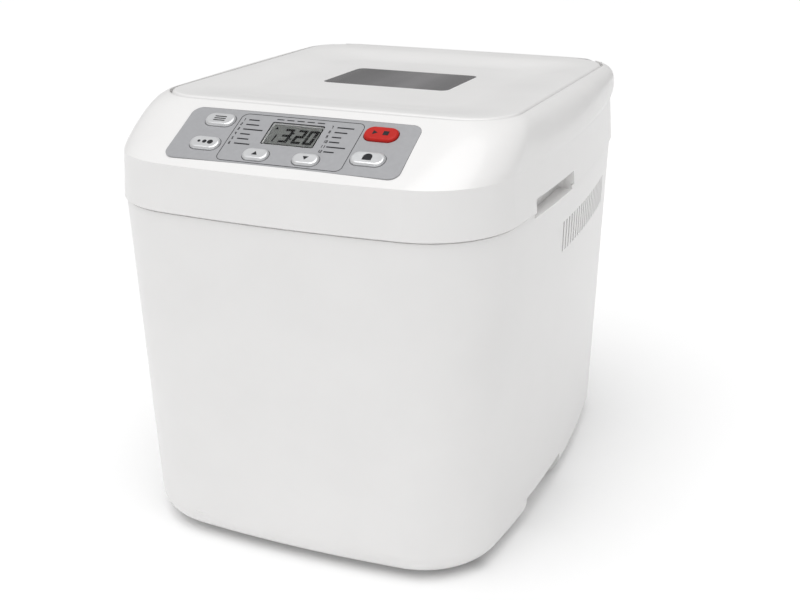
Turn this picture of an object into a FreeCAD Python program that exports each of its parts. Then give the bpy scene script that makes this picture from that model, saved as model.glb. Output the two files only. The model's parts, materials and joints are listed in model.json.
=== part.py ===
import FreeCAD, Part
import math
import os
import re
import Sketcher
from FreeCAD import Placement, Rotation, Vector

# Driving dimensions, in millimetres and degrees
SIZES = {
    # housing
    "body_half_width": 125, "body_half_depth": 150, "corner_radius": 50,
    "side_bow": 6.6, "end_bow": 3.3, "taper_side": 5.75, "taper_end": 2.4,
    "foot_height": 3, "seam_height": 209, "wall": 2.5, "bottom_round": 15,
    "seam_groove": 1.1,
    # upper frame
    "frame_overhang": 1.2, "band_draft": 2, "low_edge_height": 236, "cap_rise": 22.9,
    "cap_tilt": 1.63, "cap_half_width": 111.5, "cap_front": 98, "cap_rear": 142,
    "cap_corner": 32, "cap_side_bow": 1.5, "cap_end_bow": 0.5, "frame_wall": 2.8, "ledge_height": 252, "ledge_thickness": 3,
    "pocket_half_width": 109.5, "pocket_front": 94.5, "pocket_rear": 138.8, "pocket_corner": 29,
    "mouth_half_width": 100, "mouth_front": 86, "mouth_rear": 111, "mouth_corner": 22,
    "skirt_wall": 2.4, "deck_height": 237,
    # grips, vents and base cut-outs
    "notch_front": 76, "notch_rear": 12, "notch_top": 217, "notch_bottom": 205.6, "notch_depth": 9,
    "vent_count": 20, "vent_pitch": 5.6, "vent_width": 2.4, "vent_first": -25, "vent_low": 170, "vent_high": 189,
    "vent_reach": 13, "notch_corner": 4, "arch_corner": 5,
    "arch_front": 60, "arch_rear": 5, "arch_top": 20, "arch_depth": 19,
    # lid
    "hinge_y": 134.55, "hinge_z": 255.55, "back_radius": 2.95, "groove_radius": 4.6, "groove_reach": 99.5,
    "pin_start": 80, "pin_reach": 103.5,
    "lid_half_width": 108.3, "lid_front": 93.3, "lid_rear": 137.5, "lid_corner": 28, "lid_top": 258.5,
    "lid_bottom": 252.6, "lid_lift": 0.9, "lid_edge_round": 2.5, "dish_depth": 3, "dish_border": 36,
    "dish_margin": 5, "dish_rear": 122, "dish_corner": 22, "lid_rib": 2.4,
    "window_half_width": 42, "window_half_depth": 29.5, "window_corner": 5, "window_y": 25, "window_ledge": 4,
    "pane_thickness": 2, "gasket_thickness": 0.8, "liner_height": 242.2, "liner_thickness": 1,
    "pin_radius": 1.5, "running_fit": 0.06,
    # console
    "seat_depth": 0.9, "panel_thickness": 2, "label_thickness": 0.8, "label_shift": -2.5,
    "label_half_width": 70, "label_low": 8, "label_high": 51, "label_corner": 6,
    "lens_shift": -1, "lens_half_width": 16, "lens_low": 25.2, "lens_high": 43.8, "lens_corner": 1.2,
    "button_rise": 2.4, "button_round": 1.6, "button_gap": 0.35, "button_travel": 1.2, "switch_height": 3.7,
    "board_drop": 11, "board_thickness": 1.6, "board_half_width": 72,
    # oven and pan
    "centre_y": 25, "chamber_half_width": 88.8, "chamber_half_depth": 80.8, "chamber_corner": 30,
    "chamber_floor": 42, "chamber_top": 236, "sheet": 0.9, "floor_sheet": 1.0,
    "pan_base_half_width": 64, "pan_base_half_depth": 56, "pan_half_width": 72, "pan_half_depth": 64,
    "pan_corner": 26, "pan_base_corner": 22, "pan_bottom": 58, "pan_top": 188, "pan_wall": 1.5, "pan_rim": 4,
    "element_radius": 3.2, "element_half_width": 80, "element_half_depth": 72, "element_corner": 26,
    "element_height": 66, "element_gap": 22,
    "handle_pivot": 180, "handle_reach": 46, "handle_wire": 2, "handle_half_width": 79,
    # drive
    "shaft_radius": 5, "pan_shaft_radius": 4, "drive_pulley_radius": 38, "motor_pulley_radius": 9,
    "belt_gap": 0.3, "belt_thickness": 1.6, "belt_low": 15, "belt_width": 8, "motor_y": -100, "motor_radius": 36,
    "motor_base": 44.5, "motor_height": 66, "motor_shaft_radius": 4,
    # base
    "plate_thickness": 1.5, "plate_half_width": 88, "plate_half_depth": 115, "plate_corner": 24,
    "foot_radius": 9, "foot_x": 84, "foot_y": 110, "boss_x": 103, "boss_y": 110, "boss_radius": 5,
    "screw_x": 82, "screw_y": 60, "gland_x": 55, "gland_z": 38, "gland_radius": 8,
    "base_opening_x": 78, "base_opening_y": 105, "base_opening_corner": 20,
    "column_head_room": 3.9, "column_screw_room": 2.1, "column_thread": 1.9,
    "base_head_room": 3.6, "base_screw_room": 2, "foot_stem_room": 3,
}

doc = FreeCAD.newDocument("bread_machine")
sheet = doc.addObject("Spreadsheet::Sheet", "Sizes")
for row, (alias, number) in enumerate(SIZES.items(), start=1):
    sheet.set(f"A{row}", alias)
    sheet.set(f"B{row}", str(number))
    sheet.setAlias(f"B{row}", alias)
doc.recompute()

nodes = []


def bound(expression):
    """The expression with each alias written as the sheet's own cell."""
    def cell(match):
        word = match.group(0)
        return f"Sizes.{word}" if word in SIZES else word
    return re.sub(r"[a-z_]+", cell, expression)


def size(expression):
    """The number that an expression in the sheet's aliases comes to."""
    return float(sheet.evalExpression(expression))


def keep(piece, label):
    piece.Label = label
    nodes.append(piece)
    return piece


def moulded(label, shape):
    """A piece whose shape comes from lofts, sweeps or groups."""
    piece = doc.addObject("Part::Feature", label)
    piece.Shape = shape
    return keep(piece, label)


# Sketch and feature helpers

def new_body(label):
    return keep(doc.addObject("PartDesign::Body", label), label)


def new_sketch(body, role="XY_Plane", offset="0"):
    sketch = body.newObject("Sketcher::SketchObject", f"{body.Name}_sketch")
    plane = [feature for feature in body.Origin.OriginFeatures if feature.Role == role][0]
    sketch.AttachmentSupport = [(plane, "")]
    sketch.MapMode = "FlatFace"
    sketch.setExpression("AttachmentOffset.Base.z", bound(offset))
    return sketch


def constrain(sketch, expression, *words):
    index = sketch.addConstraint(Sketcher.Constraint(*words, size(expression)))
    sketch.setExpression(f"Constraints[{index}]", bound(expression))


def draw_polygon(sketch, corners):
    """A closed outline whose corners are pairs of expressions."""
    points = [Vector(size(x), size(y), 0) for x, y in corners]
    count = len(points)
    first = len(sketch.Geometry)
    for i in range(count):
        sketch.addGeometry(Part.LineSegment(points[i], points[(i + 1) % count]), False)
    for i in range(count):
        follower = first + (i + 1) % count
        sketch.addConstraint(Sketcher.Constraint("Coincident", first + i, 2, follower, 1))
    for i, (x, y) in enumerate(corners):
        constrain(sketch, x, "DistanceX", first + i, 1)
        constrain(sketch, y, "DistanceY", first + i, 1)


def draw_circle(sketch, radius, x="0", y="0"):
    circle = Part.Circle(Vector(size(x), size(y), 0), Vector(0, 0, 1), size(radius))
    index = sketch.addGeometry(circle, False)
    constrain(sketch, radius, "Radius", index)
    constrain(sketch, x, "DistanceX", index, 3)
    constrain(sketch, y, "DistanceY", index, 3)


def draw_round_rectangle(sketch, left, right, low, high, radius):
    """A rectangle with four equal round corners, from expressions for its sides."""
    x0, x1, y0, y1, r = size(left), size(right), size(low), size(high), size(radius)
    centres = [(x1 - r, y0 + r, -90), (x1 - r, y1 - r, 0), (x0 + r, y1 - r, 90), (x0 + r, y0 + r, 180)]
    starts = [(x0 + r, y0), (x1, y0 + r), (x1 - r, y1), (x0, y1 - r)]
    ends = [(x1 - r, y0), (x1, y1 - r), (x0 + r, y1), (x0, y0 + r)]
    first = len(sketch.Geometry)
    for (sx, sy), (ex, ey), (cx, cy, turn) in zip(starts, ends, centres):
        sketch.addGeometry(Part.LineSegment(Vector(sx, sy, 0), Vector(ex, ey, 0)), False)
        circle = Part.Circle(Vector(cx, cy, 0), Vector(0, 0, 1), r)
        arc = Part.ArcOfCircle(circle, math.radians(turn), math.radians(turn + 90))
        sketch.addGeometry(arc, False)
    for side in range(4):
        line, arc = first + 2 * side, first + 2 * side + 1
        follower = first + (2 * side + 2) % 8
        sketch.addConstraint(Sketcher.Constraint("Tangent", line, 2, arc, 1))
        sketch.addConstraint(Sketcher.Constraint("Tangent", arc, 2, follower, 1))
        sketch.addConstraint(Sketcher.Constraint("Horizontal" if side % 2 == 0 else "Vertical", line))
        if side:
            sketch.addConstraint(Sketcher.Constraint("Equal", first + 1, arc))
    constrain(sketch, radius, "Radius", first + 1)
    constrain(sketch, low, "DistanceY", first, 1)
    constrain(sketch, right, "DistanceX", first + 2, 1)
    constrain(sketch, high, "DistanceY", first + 4, 1)
    constrain(sketch, left, "DistanceX", first + 6, 1)


def feature(body, kind, sketch, length=None, reverse=False):
    made = body.newObject(f"PartDesign::{kind}", f"{body.Name}_{kind.lower()}")
    made.Profile = sketch
    if length is None:
        made.ReferenceAxis = (sketch, ["V_Axis"])
        made.Angle = 360
    else:
        made.Length = size(length)
        made.setExpression("Length", bound(length))
        made.Reversed = reverse
    sketch.Visibility = False
    return made


def pad(body, sketch, length, reverse=False):
    return feature(body, "Pad", sketch, length, reverse)


def pocket(body, sketch, length, reverse=False):
    """A cut that runs against the sketch's normal, or along it where reversed."""
    doc.recompute()
    before = body.Shape.Volume
    made = feature(body, "Pocket", sketch, length, reverse)
    doc.recompute()
    if body.Shape.Volume > before - 1e-3:
        raise ValueError(f"{body.Label}: a pocket cuts nothing")
    return made


def turned(label, corners, x="0", y="0"):
    """A body of revolution about a vertical axis, from corners of radius and height."""
    body = new_body(label)
    sketch = new_sketch(body, "XZ_Plane")
    draw_polygon(sketch, corners)
    feature(body, "Revolution", sketch)
    body.setExpression("Placement.Base.x", bound(x))
    body.setExpression("Placement.Base.y", bound(y))
    return body


def round_edges(body, radius, chosen):
    """Fillet of the edges of the body's shape that the test picks."""
    doc.recompute()
    tip = body.Tip
    names = [f"Edge{i}" for i, edge in enumerate(tip.Shape.Edges, start=1) if chosen(edge)]
    fillet = body.newObject("PartDesign::Fillet", f"{body.Name}_fillet")
    fillet.Base = (tip, names)
    fillet.Radius = size(radius)
    fillet.setExpression("Radius", bound(radius))
    return fillet


# Shape helpers for lofts and groups, with a reach past every face for cutting blocks

FAR = 300


def box(x0, x1, y0, y1, z0, z1):
    return Part.makeBox(x1 - x0, y1 - y0, z1 - z0, Vector(x0, y0, z0))


def cylinder(radius, start, end):
    axis = end - start
    return Part.makeCylinder(radius, axis.Length, start, axis)


def mirrored(shape):
    return shape.mirror(Vector(0, 0, 0), Vector(1, 0, 0))


def outline(half_width, front, rear, corner, side_bow, end_bow, height, tilt=0.0):
    """Closed wire of eight arcs: four bowed sides and four corners that meet smoothly."""
    half_depth = (rear - front) / 2
    inner_x, inner_y = half_width - corner, half_depth - corner
    side_radius = (inner_y ** 2 + side_bow ** 2) / (2 * side_bow)
    end_radius = (inner_x ** 2 + end_bow ** 2) / (2 * end_bow)
    x, y = inner_x - side_bow, inner_y - end_bow
    for _ in range(20):
        x = inner_x - side_radius + math.sqrt(side_radius ** 2 - y ** 2)
        y = inner_y - end_radius + math.sqrt(end_radius ** 2 - x ** 2)
    side_turn = math.atan2(y, x - inner_x + side_radius)
    end_turn = math.pi / 2 - math.atan2(x, y - inner_y + end_radius)
    middle_turn = (side_turn + end_turn) / 2

    def on_corner(turn):
        return Vector(x + corner * math.cos(turn), y + corner * math.sin(turn), 0)

    a, b, c = on_corner(side_turn), on_corner(middle_turn), on_corner(end_turn)
    flips = [(1, 1), (-1, 1), (-1, -1), (1, -1)]
    quarter = [[Vector(p.x * i, p.y * j, 0) for p in (a, b, c)] for i, j in flips]
    right, left = Vector(half_width, 0, 0), Vector(-half_width, 0, 0)
    back, fore = Vector(0, half_depth, 0), Vector(0, -half_depth, 0)
    triples = [
        (quarter[3][0], right, quarter[0][0]), tuple(quarter[0]),
        (quarter[0][2], back, quarter[1][2]), tuple(reversed(quarter[1])),
        (quarter[1][0], left, quarter[2][0]), tuple(quarter[2]),
        (quarter[2][2], fore, quarter[3][2]), tuple(reversed(quarter[3])),
    ]
    wire = Part.Wire([Part.Arc(*triple).toShape() for triple in triples])
    wire.translate(Vector(0, (front + rear) / 2, 0))
    wire.rotate(Vector(0, 0, 0), Vector(1, 0, 0), tilt)
    wire.translate(Vector(0, 0, height))
    return wire


def rounded_wire(x0, x1, y0, y1, radius, height):
    """Closed wire of a rectangle with round corners."""
    points = [(x1, y1, 45), (x0, y1, 135), (x0, y0, 225), (x1, y0, 315)]
    arcs = []
    for x, y, turn in points:
        cx = x - math.copysign(radius, math.cos(math.radians(turn)))
        cy = y - math.copysign(radius, math.sin(math.radians(turn)))
        rim = [Vector(cx + radius * math.cos(math.radians(turn + k)),
                      cy + radius * math.sin(math.radians(turn + k)), height) for k in (-45, 0, 45)]
        arcs.append(rim)
    edges = []
    for i, rim in enumerate(arcs):
        edges.append(Part.Arc(*rim).toShape())
        edges.append(Part.LineSegment(rim[2], arcs[(i + 1) % 4][0]).toShape())
    return Part.Wire(edges)


def prism(x0, x1, y0, y1, radius, z0, z1):
    """Upright block with round corners."""
    return Part.Face(rounded_wire(x0, x1, y0, y1, radius, z0)).extrude(Vector(0, 0, z1 - z0))


def joined(first, *others):
    return first.fuse(list(others)).removeSplitter()


# Console frame: x across, y up the slope, z out of the label's seat

low_front = size("-(body_half_depth + frame_overhang - band_draft)")
slope_rise = size("cap_rise + cap_front * tan(cap_tilt)")
slope_run = -size("cap_front") - low_front
slope_turn = math.degrees(math.atan2(slope_rise, slope_run))
slope_rotation = Rotation(Vector(1, 0, 0), slope_turn)


def on_slope(x, up, out):
    """Placement on the console: x across, up from its lower edge, out of the label's seat."""
    local = Vector(x, up, out - size("seat_depth"))
    base = Vector(0, low_front, size("low_edge_height")) + slope_rotation.multVec(local)
    return Placement(base, slope_rotation)


def slope_box(x0, x1, up0, up1, out0, out1):
    shape = box(0, x1 - x0, 0, up1 - up0, 0, out1 - out0)
    shape.Placement = on_slope(x0, up0, out0)
    return shape


# Buttons: name, place on the console, half length and half height of the pill

BUTTONS = [
    ("menu_button", -49, 41, 9.25, 5.2),
    ("colour_button", -49, 21, 9.25, 5.2),
    ("up_button", -15, 15.8, 7.8, 4.6),
    ("down_button", 15, 15.8, 7.8, 4.6),
    ("start_button", 49, 41, 9.8, 5.6),
    ("loaf_button", 49, 21, 9.9, 5.2),
]

PILL_ROUND = 0.94


def pill(half_length, half_height, low, high):
    return prism(-half_length, half_length, -half_height, half_height, PILL_ROUND * half_height, low, high)


# Places in plan of screws, feet and screw columns, of the cord gland, and of the posts behind the console

QUARTERS = [(-1, -1), (-1, 1), (1, -1), (1, 1)]
SCREW_PLACES = [(x * size("screw_x"), y * size("screw_y")) for x, y in QUARTERS]
FOOT_PLACES = [(x * size("foot_x"), y * size("foot_y")) for x, y in QUARTERS]
BOSS_PLACES = [(x * size("boss_x"), y * size("boss_y")) for x, y in QUARTERS]
BOARD_POSTS = [(-69.5, 31), (64.5, 31), (-37, 47), (32, 47)]
column_end = size("seam_height - 11")


# Body shell: tapered tub with vents, grips, base cut-outs and screw columns

def tub(inset, floor, top):
    """Tapered block of the housing, taken in by inset, from floor to top."""
    def ring(height):
        share = (size("seam_height") - height) / size("seam_height - foot_height")
        half_width = size("body_half_width") - size("taper_side") * share - inset
        half_depth = size("body_half_depth") - size("taper_end") * share - inset
        corner = size("corner_radius") - inset
        return outline(half_width, -half_depth, half_depth, corner, size("side_bow"), size("end_bow"), height)
    block = Part.makeLoft([ring(floor), ring(top)], True, True)
    bottom = [edge for edge in block.Edges if edge.BoundBox.ZMax < floor + 0.01]
    return block.makeFillet(size("bottom_round") - inset, bottom)


def make_body_shell():
    foot, seam, wall = size("foot_height"), size("seam_height"), size("wall")
    outer = tub(0, foot, seam)
    inner = tub(wall, foot + wall, seam + 1)
    shell = outer.cut(inner)
    arch_in = size("body_half_width - taper_side - arch_depth")
    arch_y = (-size("arch_front"), size("arch_rear"))
    cheek = box(arch_in - wall, FAR, arch_y[0] - wall, arch_y[1] + wall, 0, size("arch_top") + wall)
    arch = prism(arch_in, FAR, *arch_y, size("arch_corner"), -foot, size("arch_top"))
    notch_in = size("body_half_width - notch_depth")
    notch_y = (-size("notch_front"), -size("notch_rear"))
    lip = box(notch_in - wall, FAR, notch_y[0] - wall, notch_y[1] + wall, size("notch_bottom") - wall, seam)
    columns = []
    holes = []
    for x, y in BOSS_PLACES:
        columns.append(cylinder(size("boss_radius"), Vector(x, y, foot + 1), Vector(x, y, seam - 3)))
        holes.append(cylinder(size("column_head_room"), Vector(x, y, 0), Vector(x, y, column_end)))
        holes.append(cylinder(size("column_screw_room"), Vector(x, y, 0), Vector(x, y, seam)))
    added = [cheek, mirrored(cheek), lip, mirrored(lip)] + columns
    shell = shell.fuse([piece.common(outer) for piece in added])
    notch = prism(notch_in, FAR, *notch_y, size("notch_corner"), size("notch_bottom"), seam + 5)
    vents = []
    for i in range(int(size("vent_count"))):
        y = size("vent_first") + i * size("vent_pitch")
        vents.append(box(size("body_half_width - vent_reach"), FAR, y, y + size("vent_width"), size("vent_low"),
                         size("vent_high")))
    cutters = [arch, mirrored(arch), notch, mirrored(notch)] + vents + [mirrored(vent) for vent in vents] + holes
    base_x, base_y = size("base_opening_x"), size("base_opening_y")
    cutters.append(prism(-base_x, base_x, -base_y, base_y, size("base_opening_corner"), 0, foot + wall + 1))
    groove = size("seam_groove")
    ring = box(-FAR, FAR, -FAR, FAR, seam - groove, seam + 1)
    cutters.append(ring.cut(tub(groove, foot, seam + 1)))
    for x, y in SCREW_PLACES:
        cutters.append(cylinder(size("base_head_room"), Vector(x, y, 0), Vector(x, y, foot + 1.5)))
        cutters.append(cylinder(size("base_screw_room"), Vector(x, y, 0), Vector(x, y, foot + 6)))
    for x, y in FOOT_PLACES:
        cutters.append(cylinder(size("foot_stem_room"), Vector(x, y, 0), Vector(x, y, foot + 6)))
    gland_x, gland_z = size("gland_x"), size("gland_z")
    cutters.append(cylinder(size("gland_radius"), Vector(gland_x, 130, gland_z), Vector(gland_x, FAR, gland_z)))
    return shell.cut(cutters)


moulded("body_shell", make_body_shell())


# Upper frame: band, sloping console, rounded shoulders, lid pocket and hinge groove

def frame_solid(inset):
    """Outer form of the upper frame, taken in by inset."""
    half_width = size("body_half_width + frame_overhang") - inset
    half_depth = size("body_half_depth + frame_overhang") - inset
    draft = size("band_draft")
    low = size("low_edge_height")
    bows = (size("side_bow"), size("end_bow"))
    corner = size("corner_radius + frame_overhang") - inset
    seam = size("seam_height") - (2 if inset else 0)
    foot = outline(half_width, -half_depth, half_depth, corner, *bows, seam)
    upper = outline(half_width - draft, draft - half_depth, half_depth - draft, corner - draft, *bows, low)
    band = Part.makeLoft([foot, upper], True, True)
    last = math.radians(80)
    side_step = (size("body_half_width + frame_overhang - band_draft - cap_half_width")) / (1 - math.cos(last))
    rear_step = (size("body_half_depth + frame_overhang - band_draft - cap_rear")) / (1 - math.cos(last))
    front_step = size("body_half_depth + frame_overhang - band_draft - cap_front") / math.sin(last)
    rings = []
    for turn in (0, 20, 40, 60, 80):
        rise, back = math.sin(math.radians(turn)), 1 - math.cos(math.radians(turn))
        share = rise / math.sin(last)
        rings.append(outline(
            half_width - draft - side_step * back,
            draft - half_depth + front_step * rise,
            half_depth - draft - rear_step * back,
            corner - draft + (size("cap_corner") - corner + draft) * share,
            bows[0] + (size("cap_side_bow") - bows[0]) * share,
            bows[1] + (size("cap_end_bow") - bows[1]) * share,
            low + (size("cap_rise") - inset) * share, -size("cap_tilt") * share))
    cap = Part.makeLoft(rings, True, False)
    return band.fuse(cap)


def hinge_cylinder(radius, reach, start=None):
    """Cylinder on the hinge axis, up to reach on both sides, or on the right from start to reach."""
    y, z = size("hinge_y"), size("hinge_z")
    return cylinder(radius, Vector(-reach if start is None else start, y, z), Vector(reach, y, z))


def on_lid(shape):
    """The shape moved from the lid's level frame to its place on the tilted cap."""
    placed = shape.copy()
    placed.rotate(Vector(0, 0, size("lid_top")), Vector(1, 0, 0), -size("cap_tilt"))
    placed.translate(Vector(0, 0, size("lid_lift")))
    return placed


def make_upper_frame():
    outer = frame_solid(0)
    wall, ledge = size("frame_wall"), size("ledge_height")
    hollow = frame_solid(wall)
    below_ledge = on_lid(box(-FAR, FAR, -FAR, FAR, 0, ledge - size("ledge_thickness")))
    console = box(-FAR, FAR, -FAR, -size("pocket_front") - wall, 0, FAR)
    under_panel = slope_box(-FAR, FAR, -FAR, FAR, -FAR, -size("panel_thickness"))
    hollow = hollow.common(below_ledge.fuse(console)).common(under_panel)
    shift = size("label_shift")
    reach = size("board_half_width") + 1
    behind_panel = slope_box(shift - reach, shift + reach, 6, 50, -8, -size("panel_thickness"))
    shell = outer.cut([hollow, behind_panel])
    mouth = (-size("mouth_half_width"), size("mouth_half_width"), -size("mouth_front"), size("mouth_rear"))
    rim = size("skirt_wall")
    corner = size("mouth_corner")
    skirt = prism(mouth[0] - rim, mouth[1] + rim, mouth[2] - rim, mouth[3] + rim, corner + rim,
                  size("deck_height"), ledge + 2)
    added = [skirt]
    for x, y in BOSS_PLACES:
        added.append(cylinder(size("boss_radius"), Vector(x, y, size("seam_height") - 3), Vector(x, y, ledge + 5)))
    for x, up in BOARD_POSTS:
        post = Part.makeCylinder(3, size("board_drop") - 1)
        post.Placement = on_slope(x, up, -size("board_drop"))
        added.append(post)
    notch_in = size("body_half_width - notch_depth")
    notch_y = (-size("notch_front"), -size("notch_rear"))
    hood = box(notch_in - wall, FAR, notch_y[0] - wall, notch_y[1] + wall, size("seam_height"),
               size("notch_top") + wall)
    added += [hood, mirrored(hood)]
    limit = frame_solid(0.5)
    inside = limit.fuse(box(-110, 110, -120, 120, 150, size("low_edge_height")))
    shell = shell.fuse([piece.common(inside) for piece in added])
    pocket_block = prism(-size("pocket_half_width"), size("pocket_half_width"), -size("pocket_front"),
                         size("pocket_rear"), size("pocket_corner"), ledge, ledge + 30)
    notch = prism(notch_in, FAR, *notch_y, size("notch_corner"), size("seam_height") - 5, size("notch_top"))
    cutters = [on_lid(pocket_block), prism(*mouth, corner, 200, FAR), notch, mirrored(notch),
               on_lid(hinge_cylinder(size("groove_radius"), size("groove_reach"))),
               on_lid(hinge_cylinder(size("pin_radius"), size("pin_reach")))]
    for x, y in BOSS_PLACES:
        cutters.append(cylinder(size("column_thread"), Vector(x, y, 190), Vector(x, y, column_end + 24)))
    seat = prism(size("label_shift - label_half_width") - 0.2, size("label_shift + label_half_width") + 0.2,
                 size("label_low") - 0.2, size("label_high") + 0.2, size("label_corner") + 0.2, 0, 10)
    seat.Placement = on_slope(0, 0, 0)
    cutters.append(seat)
    lens_middle, lens_half = size("label_shift + lens_shift"), size("lens_half_width") - 1
    lens_hole = prism(lens_middle - lens_half, lens_middle + lens_half, size("lens_low") + 1,
                      size("lens_high") - 1, 1, -10, 10)
    lens_hole.Placement = on_slope(0, 0, 0)
    cutters.append(lens_hole)
    for name, x, up, half_length, half_height in BUTTONS:
        hole = pill(half_length + size("button_gap"), half_height + size("button_gap"), -10, 10)
        hole.Placement = on_slope(size("label_shift") + x, up, 0)
        cutters.append(hole)
    return shell.cut(cutters)


moulded("upper_frame", make_upper_frame())


# Base plate, feet, screws and cord gland

def lathe(corners):
    """Solid turned about the upright axis, from corners of radius and height."""
    points = [Vector(radius, 0, height) for radius, height in corners]
    face = Part.Face(Part.makePolygon(points + points[:1]))
    return face.revolve(Vector(0, 0, 0), Vector(0, 0, 1), 360)


def group(shape, places):
    """Copies of one shape at places in plan."""
    copies = []
    for x, y in places:
        copy = shape.copy()
        copy.translate(Vector(x, y, 0))
        copies.append(copy)
    return Part.makeCompound(copies)


def axis_of(body, role):
    return [feature for feature in body.Origin.OriginFeatures if feature.Role == role][0]


def pattern(body, kind, original, axis, count, span):
    """Repeat of a feature along or round an axis of the body."""
    made = body.newObject(f"PartDesign::{kind}", f"{body.Name}_pattern")
    made.Originals = [original]
    made.Occurrences = count
    if kind == "LinearPattern":
        made.Direction = (axis_of(body, axis), [""])
        made.Length = span
    else:
        made.Axis = (axis_of(body, axis), [""])
        made.Angle = span
    body.Tip = made
    return made


plate = new_body("base_plate")
plate_sketch = new_sketch(plate)
draw_round_rectangle(plate_sketch, "-plate_half_width", "plate_half_width", "-plate_half_depth",
                     "plate_half_depth", "plate_corner")
for x, y in SCREW_PLACES:
    draw_circle(plate_sketch, "1.65", str(x), str(y))
pad(plate, plate_sketch, "plate_thickness")
slot_sketch = new_sketch(plate, offset="plate_thickness")
draw_round_rectangle(slot_sketch, "-63", "-57", "-95", "-45", "2.8")
first_slot = pocket(plate, slot_sketch, "plate_thickness")
pattern(plate, "LinearPattern", first_slot, "X_Axis", 11, 120)
plate.setExpression("Placement.Base.z", bound("foot_height + wall"))

foot_top = size("foot_height")
moulded("rubber_feet", group(lathe([
    (0, 0), (size("foot_radius") - 1, 0), (size("foot_radius"), 1), (size("foot_radius"), foot_top),
    (3, foot_top), (3, foot_top + 2.4), (0, foot_top + 2.4)]), FOOT_PLACES))
moulded("base_screws", group(lathe([
    (0, foot_top + 0.1), (3.3, foot_top + 0.1), (3.3, foot_top + 1.5), (1.6, foot_top + 1.5),
    (1.6, foot_top + 8), (0, foot_top + 8)]), SCREW_PLACES))
moulded("frame_screws", group(lathe([
    (0, column_end - 3.5), (3.6, column_end - 3.5), (3.6, column_end), (1.85, column_end),
    (1.85, column_end + 23), (0, column_end + 23)]), BOSS_PLACES))

gland = lathe([(3.5, 0), (10.5, 0), (10.5, 3), (7.95, 3), (7.95, 8), (11, 8), (11, 9.5), (9, 10.5), (3.5, 10.5)])
gland.rotate(Vector(0, 0, 0), Vector(1, 0, 0), -90)
gland.translate(Vector(size("gland_x"), 139.5, size("gland_z")))
moulded("cord_gland", gland)


# Oven chamber of sheet steel and the deck plate round its mouth

chamber = new_body("oven_chamber")
chamber_sketch = new_sketch(chamber)
draw_round_rectangle(chamber_sketch, "-chamber_half_width", "chamber_half_width", "-chamber_half_depth",
                     "chamber_half_depth", "chamber_corner")
pad(chamber, chamber_sketch, "chamber_top - chamber_floor")
inside_sketch = new_sketch(chamber, offset="chamber_top - chamber_floor")
draw_round_rectangle(inside_sketch, "sheet - chamber_half_width", "chamber_half_width - sheet",
                     "sheet - chamber_half_depth", "chamber_half_depth - sheet", "chamber_corner - sheet")
pocket(chamber, inside_sketch, "chamber_top - chamber_floor - floor_sheet")
hub_sketch = new_sketch(chamber, offset="floor_sheet")
draw_circle(hub_sketch, "11.3")
pocket(chamber, hub_sketch, "floor_sheet * 2")
lead_sketch = new_sketch(chamber, "YZ_Plane")
for side in ("-", ""):
    draw_circle(lead_sketch, "5.6", f"{side}element_gap / 2", "element_height - chamber_floor")
pocket(chamber, lead_sketch, "chamber_half_width + 5")
sensor_sketch = new_sketch(chamber, "XZ_Plane")
draw_circle(sensor_sketch, "2.7", "45", "95 - chamber_floor")
pocket(chamber, sensor_sketch, "chamber_half_depth + 5", reverse=True)
chamber.setExpression("Placement.Base.y", bound("centre_y"))
chamber.setExpression("Placement.Base.z", bound("chamber_floor"))

deck = new_body("chamber_deck")
deck_sketch = new_sketch(deck)
draw_round_rectangle(deck_sketch, "-mouth_half_width - 3", "mouth_half_width + 3", "-mouth_front - 4",
                     "mouth_rear + 3", "mouth_corner + 2")
draw_round_rectangle(deck_sketch, "sheet - chamber_half_width", "chamber_half_width - sheet",
                     "centre_y - chamber_half_depth + sheet", "centre_y + chamber_half_depth - sheet",
                     "chamber_corner - sheet")
pad(deck, deck_sketch, "deck_height - chamber_top")
deck.setExpression("Placement.Base.z", bound("chamber_top"))


# Heating element: one tube bent round the foot of the pan, with its leads through the left wall

def make_element_path():
    x, y = size("element_half_width"), size("element_half_depth")
    r, z, middle = size("element_corner"), size("element_height"), size("centre_y")
    bend, half_gap, lead = 5, size("element_gap") / 2, size("chamber_half_width") + 15

    def arc(cx, cy, radius, turns):
        return Part.Arc(*[Vector(cx + radius * math.cos(math.radians(turn)),
                                 middle + cy + radius * math.sin(math.radians(turn)), z) for turn in turns])
    bends = [
        arc(-x - bend, -half_gap - bend, bend, (90, 45, 0)),
        arc(r - x, r - y, r, (180, 225, 270)),
        arc(x - r, r - y, r, (270, 315, 360)),
        arc(x - r, y - r, r, (0, 45, 90)),
        arc(r - x, y - r, r, (90, 135, 180)),
        arc(-x - bend, half_gap + bend, bend, (0, -45, -90)),
    ]
    edges = []
    here = Vector(-lead, middle - half_gap, z)
    for bend_arc in bends:
        edges.append(Part.LineSegment(here, bend_arc.StartPoint).toShape())
        edges.append(bend_arc.toShape())
        here = bend_arc.EndPoint
    edges.append(Part.LineSegment(here, Vector(-lead, middle + half_gap, z)).toShape())
    return Part.Wire(edges)


def swept(path, radius):
    """Round rod along a path."""
    start = path.OrderedVertexes[0].Point
    direction = path.OrderedEdges[0].tangentAt(path.OrderedEdges[0].FirstParameter)
    section = Part.Wire(Part.Circle(start, direction, radius).toShape())
    return path.makePipeShell([section], True, False)


moulded("heating_element", swept(make_element_path(), size("element_radius")))


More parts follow.
